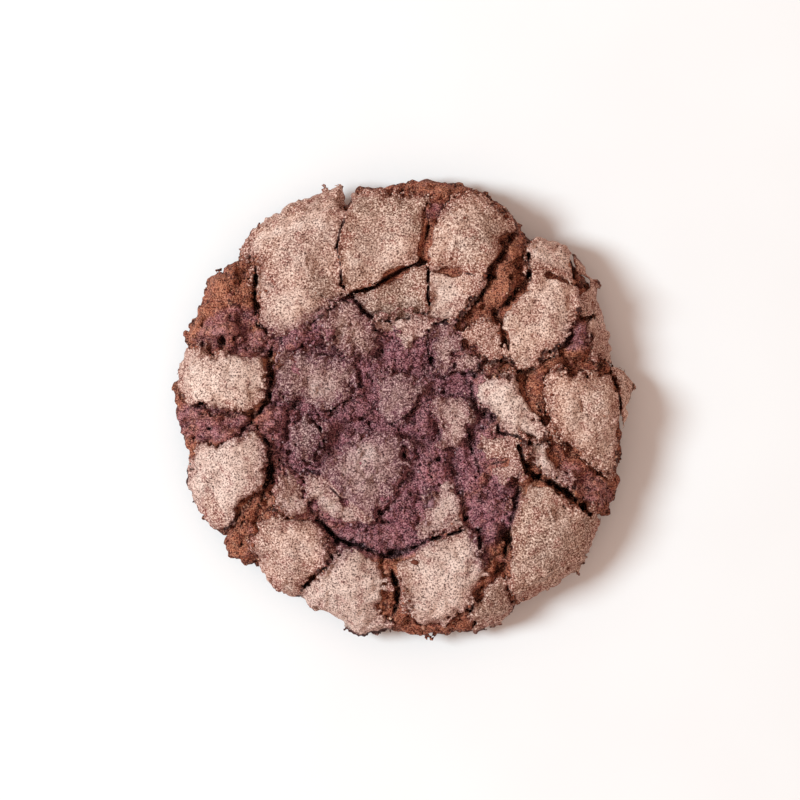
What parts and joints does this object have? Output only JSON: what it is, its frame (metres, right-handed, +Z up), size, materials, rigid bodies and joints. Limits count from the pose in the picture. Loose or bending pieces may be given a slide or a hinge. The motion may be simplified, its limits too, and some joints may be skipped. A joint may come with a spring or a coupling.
{
  "type": "ube cookie",
  "caption": "Round ube cookie with a crackled pale crust over purple and rust brown crumb, lying flat on its baked underside.",
  "frame": {"origin": "the middle of the cookie's box, on the surface it lies on", "axes": "+Z up out of the flat underside, +Y towards the top of the picture, +X towards its right"},
  "size_m": [0.089, 0.0876, 0.0169],
  "materials": {
    "baked_dough": "baked cookie dough: matte pinkish tan crust plates over porous purple and rust brown crumb"
  },
  "bodies": {
    "root": {"cookie": "baked_dough"}
  },
  "joints": []
}
